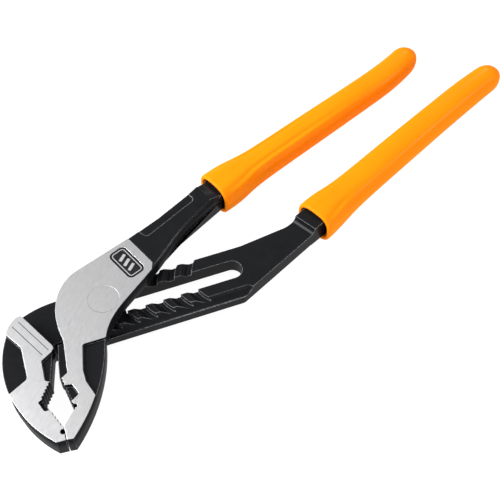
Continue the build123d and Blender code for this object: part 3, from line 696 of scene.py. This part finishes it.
def floor_material(name):
    """Pale studio paper with a faint tooth."""
    shader = Shader(name)
    tooth = shader.noise(900, 2, 0.5)
    base = shader.mix(shader.remap(tooth, 0.3, 0.7), *PAPER_COLOURS)
    shader.set(Base_Color=base, Roughness=0.9, Specular_IOR_Level=0.1)
    shader.set(Emission_Color=(1.0, 1.0, 1.0), Emission_Strength=0.95)
    return shader.material


# =============================================================================================
# Operators
# =============================================================================================
def soften_edges(node, width):
    """Rounds a CAD node's edges with live modifiers, and leaves its own mesh as it is."""
    weld = node.modifiers.new("weld", "WELD")
    weld.merge_threshold = WELD_DISTANCE
    flatten = node.modifiers.new("flatten", "DECIMATE")
    flatten.decimate_type = "DISSOLVE"
    flatten.angle_limit = FLAT_ANGLE
    rounds = node.modifiers.new("rounds", "BEVEL")
    rounds.width = width
    rounds.segments = BEVEL_SEGMENTS
    rounds.limit_method = "ANGLE"
    rounds.angle_limit = ROUNDED_ANGLE
    rounds.use_clamp_overlap = False
    rounds.miter_outer = "MITER_ARC"
    rounds.harden_normals = True
    weighted = node.modifiers.new("weighted", "WEIGHTED_NORMAL")
    weighted.keep_sharp = False


def give_material(node, material):
    """Leaves a CAD node with one material."""
    node.data.materials.clear()
    node.data.materials.append(material)


def hang_softbox(name, aim, way, distance, width, height, watts):
    """Hangs a rectangular softbox in a direction from the aim, turned to face it."""
    lamp = bpy.data.lights.new(name, "AREA")
    lamp.shape = "RECTANGLE"
    lamp.size = width
    lamp.size_y = height
    lamp.energy = watts
    light = bpy.data.objects.new(name, lamp)
    light.location = aim + Vector(way).normalized() * distance
    light.rotation_euler = (aim - light.location).to_track_quat("-Z", "Y").to_euler()
    bpy.context.scene.collection.objects.link(light)


class PLIERS_OT_finish_levers(bpy.types.Operator):
    """Blacken the two forged levers, grind their front faces and round their edges"""
    bl_idname = "pliers.finish_levers"
    bl_label = "Finish levers"

    def execute(self, context):
        settings = context.scene.pliers_levers
        material = lever_material("blackened_forging_ground_front", settings)
        for name in ("groove_lever", "tongue_lever"):
            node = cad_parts[name]
            give_material(node, material)
            soften_edges(node, settings.edge_round)
        return {"FINISHED"}


class PLIERS_OT_finish_pivot(bpy.types.Operator):
    """Finish the bolt, the washer and the nut of the pivot"""
    bl_idname = "pliers.finish_pivot"
    bl_label = "Finish pivot"

    def execute(self, context):
        settings = context.scene.pliers_levers
        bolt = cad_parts["pivot_bolt"]
        give_material(bolt, lever_material("pivot_bolt_steel", settings))
        dark = hardware_material("black_oxide_hardware", HARDWARE_COLOUR, 0.32, 0.5, 0.6)
        for name in ("pivot_washer", "pivot_nut"):
            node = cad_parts[name]
            give_material(node, dark)
        soften_edges(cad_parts["pivot_nut"], settings.edge_round / 4)
        return {"FINISHED"}


class PLIERS_OT_dip_grips(bpy.types.Operator):
    """Model the two dipped vinyl grips over their tangs"""
    bl_idname = "pliers.dip_grips"
    bl_label = "Dip grips"

    def execute(self, context):
        settings = context.scene.pliers_grips
        vinyl = vinyl_material("dipped_vinyl", settings)
        tongue_run = GripRun(TONGUE_GRIP_MOUTH, TONGUE_GRIP_HEADINGS, TONGUE_GRIP_LENGTH)
        groove_run = GripRun(GROOVE_GRIP_MOUTH, GROOVE_GRIP_HEADINGS, GROOVE_GRIP_LENGTH)
        for lever, run, pocket, crest_run in (
                ("tongue_lever", tongue_run, TONGUE_POCKET, TONGUE_CREST),
                ("groove_lever", groove_run, GROOVE_POCKET, GROOVE_CREST)):
            rings = grip_rings(run, settings, *pocket, crest_run)
            bm = extrude_rings(rings, settings.ring_points)
            grip = new_piece(f"{lever}_dipped_grip", bm, vinyl, f"{lever}_body")
            finer = grip.modifiers.new("finer", "SUBSURF")
            finer.levels = 1
            finer.render_levels = 1
            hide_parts(f"{lever}_grip")
        return {"FINISHED"}


class PLIERS_OT_fill_badge(bpy.types.Operator):
    """Fill the badge's recess with enamel and plain raised lines"""
    bl_idname = "pliers.fill_badge"
    bl_label = "Fill badge"

    def execute(self, context):
        settings = context.scene.pliers_badge
        floor = FRONT - BADGE_DEPTH
        place = Matrix.Translation(BADGE_CENTRE) @ Matrix.Rotation(BADGE_TURN, 4, "Z")
        field = rounded_slab(BADGE_WIDTH - BADGE_FIT, BADGE_LENGTH - BADGE_FIT,
                             BADGE_CORNER - BADGE_FIT / 2, floor, floor + ENAMEL_THICKNESS, place)
        new_piece("badge_field", field, enamel_material("badge_enamel", settings),
                  "tongue_lever_body", smooth=False)
        parts = [rounded_frame(BADGE_WIDTH - 2 * FRAME_INSET, BADGE_LENGTH - 2 * FRAME_INSET,
                               BADGE_CORNER - FRAME_INSET, settings.line_width,
                               floor + FRAME_FOOT, floor + LINE_TOP, place)]
        for step in (-1, 0, 1):
            shift = Matrix.Translation((0, step * BAR_SPACING, 0))
            at = place @ shift @ Matrix.Rotation(BAR_TURN, 4, "Z")
            parts.append(rounded_slab(BAR_WIDTH, BAR_LENGTH, BAR_CORNER, floor + BAR_FOOT,
                                      floor + LINE_TOP, at, BAR_CORNER_SEGMENTS))
        lines = bright_line_material("badge_lines_steel", context.scene.pliers_levers)
        new_piece("badge_lines", joined(parts), lines, "tongue_lever_body",
                  smooth=False)
        return {"FINISHED"}


class PLIERS_OT_set_stage(bpy.types.Operator):
    """Lay the floor, hang the lights and place the camera"""
    bl_idname = "pliers.set_stage"
    bl_label = "Set stage"

    def execute(self, context):
        settings = context.scene.pliers_stage
        scene = context.scene
        bm = bmesh.new()
        bmesh.ops.create_grid(bm, x_segments=1, y_segments=1, size=FLOOR_HALF_SIZE)
        mesh = bpy.data.meshes.new("studio_floor")
        bm.to_mesh(mesh)
        bm.free()
        floor = bpy.data.objects.new("studio_floor", mesh)
        scene.collection.objects.link(floor)
        mesh.materials.append(floor_material("studio_paper"))

        world = bpy.data.worlds.new("studio")
        world.use_nodes = True
        sky = world.node_tree.nodes["Background"]
        sky.inputs["Color"].default_value = (1, 1, 1, 1)
        sky.inputs["Strength"].default_value = settings.sky
        scene.world = world

        aim = Vector(settings.aim)
        for name, way, distance, width, height, power in SOFTBOXES:
            hang_softbox(name, aim, way, distance, width, height, getattr(settings, power))

        back = Vector((sin(settings.azimuth) * cos(settings.elevation),
                       -cos(settings.azimuth) * cos(settings.elevation),
                       sin(settings.elevation)))
        camera = bpy.data.objects.new("camera", bpy.data.cameras.new("camera"))
        camera.data.lens = settings.lens
        camera.data.sensor_width = 36.0
        camera.data.clip_start = 0.01
        camera.location = aim + back * settings.distance
        camera.rotation_euler = (-back).to_track_quat("-Z", "Y").to_euler()
        scene.collection.objects.link(camera)
        scene.camera = camera
        scene.view_settings.view_transform = "Standard"
        return {"FINISHED"}


class PLIERS_PT_panel(bpy.types.Panel):
    """Builds the pliers step by step"""
    bl_idname = "PLIERS_PT_panel"
    bl_label = "Pliers"
    bl_space_type = "VIEW_3D"
    bl_region_type = "UI"
    bl_category = "Pliers"

    def draw(self, context):
        for group, operators in STEPS:
            box = self.layout.box()
            settings = getattr(context.scene, group)
            for name in settings.bl_rna.properties.keys():
                if name not in ("rna_type", "name"):
                    box.prop(settings, name)
            for operator in operators:
                box.operator(operator.bl_idname)


STEPS = (
    ("pliers_levers", (PLIERS_OT_finish_levers, PLIERS_OT_finish_pivot)),
    ("pliers_grips", (PLIERS_OT_dip_grips,)),
    ("pliers_badge", (PLIERS_OT_fill_badge,)),
    ("pliers_stage", (PLIERS_OT_set_stage,)),
)
GROUPS = {
    "pliers_levers": LeverSettings,
    "pliers_grips": GripSettings,
    "pliers_badge": BadgeSettings,
    "pliers_stage": StageSettings,
}
OPERATORS = tuple(operator for _, operators in STEPS for operator in operators)
CLASSES = (*GROUPS.values(), *OPERATORS, PLIERS_PT_panel)


def register():
    for cls in CLASSES:
        bpy.utils.register_class(cls)
    for name, group in GROUPS.items():
        setattr(bpy.types.Scene, name, bpy.props.PointerProperty(type=group))


def unregister():
    for name in GROUPS:
        delattr(bpy.types.Scene, name)
    for cls in reversed(CLASSES):
        bpy.utils.unregister_class(cls)


def main():
    register()
    bpy.ops.pliers.finish_levers()
    bpy.ops.pliers.finish_pivot()
    bpy.ops.pliers.dip_grips()
    bpy.ops.pliers.fill_badge()
    bpy.ops.pliers.set_stage()


if __name__ == "__main__":
    main()
